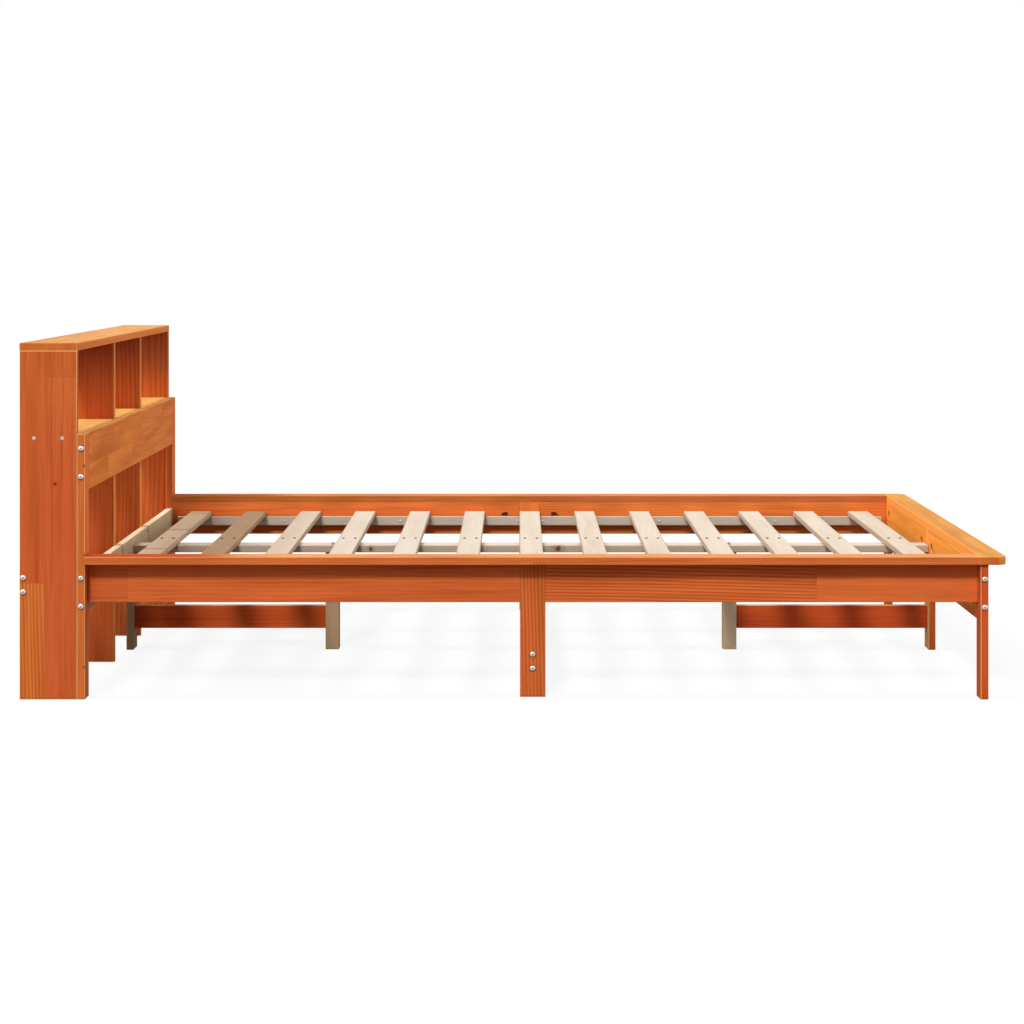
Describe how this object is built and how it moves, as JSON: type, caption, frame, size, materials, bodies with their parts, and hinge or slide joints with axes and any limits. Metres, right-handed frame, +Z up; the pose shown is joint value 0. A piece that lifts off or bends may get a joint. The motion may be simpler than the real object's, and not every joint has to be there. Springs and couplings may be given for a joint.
{
  "type": "bed frame",
  "caption": "Wooden bed frame with an open bookcase at the head, ledge boards on its side rails and foot, and a slatted base on battens and a legged centre beam.",
  "frame": {"origin": "on the floor, under the middle of the overall box", "axes": "+X from the bookcase at the head to the foot, +Y to the right as seen from the foot, +Z up"},
  "size_m": [2.232, 1.332, 0.806],
  "materials": {
    "stained_pine": "wax brown stain, satin",
    "plain_pine": "bare planed pine, matt",
    "dowel_wood": "bare beech, matt",
    "bolt_steel": "zinc plated",
    "screw_steel": "zinc plated"
  },
  "bodies": {
    "root": {"side_panel_left": "stained_pine", "side_panel_right": "stained_pine", "divider_left": "stained_pine", "divider_right": "stained_pine", "top_board": "stained_pine", "shelf_left": "stained_pine", "shelf_middle": "stained_pine", "shelf_right": "stained_pine", "rear_rail": "stained_pine", "head_post_left": "stained_pine", "head_post_right": "stained_pine", "head_rail_upper": "stained_pine", "foot_leg_left": "stained_pine", "foot_leg_right": "stained_pine", "foot_center_leg": "stained_pine", "foot_rail_left": "stained_pine", "foot_rail_right": "stained_pine", "foot_cap": "stained_pine", "middle_leg_left": "stained_pine", "middle_leg_right": "stained_pine", "cross_rail": "stained_pine", "stretcher_head": "stained_pine", "stretcher_foot": "stained_pine", "side_rail_left_head": "stained_pine", "side_rail_left_foot": "stained_pine", "side_rail_right_head": "stained_pine", "side_rail_right_foot": "stained_pine", "side_cap_left_head": "stained_pine", "side_cap_left_foot": "stained_pine", "side_cap_right_head": "stained_pine", "side_cap_right_foot": "stained_pine", "head_rail_lower": "plain_pine", "head_center_leg": "plain_pine", "center_beam": "plain_pine", "center_leg_head": "plain_pine", "center_leg_foot": "plain_pine", "batten_left_head": "plain_pine", "batten_left_foot": "plain_pine", "batten_right_head": "plain_pine", "batten_right_foot": "plain_pine", "slat_01": "plain_pine", "slat_02": "plain_pine", "slat_03": "plain_pine", "slat_04": "plain_pine", "slat_05": "plain_pine", "slat_06": "plain_pine", "slat_07": "plain_pine", "slat_08": "plain_pine", "slat_09": "plain_pine", "slat_10": "plain_pine", "slat_11": "plain_pine", "slat_12": "plain_pine", "slat_13": "plain_pine", "long_bolts": "bolt_steel", "short_bolts": "bolt_steel", "joint_rods": "bolt_steel", "half_moon_nuts": "bolt_steel", "barrel_nuts": "bolt_steel", "deck_screws": "screw_steel", "dowels": "dowel_wood"}
  },
  "joints": []
}
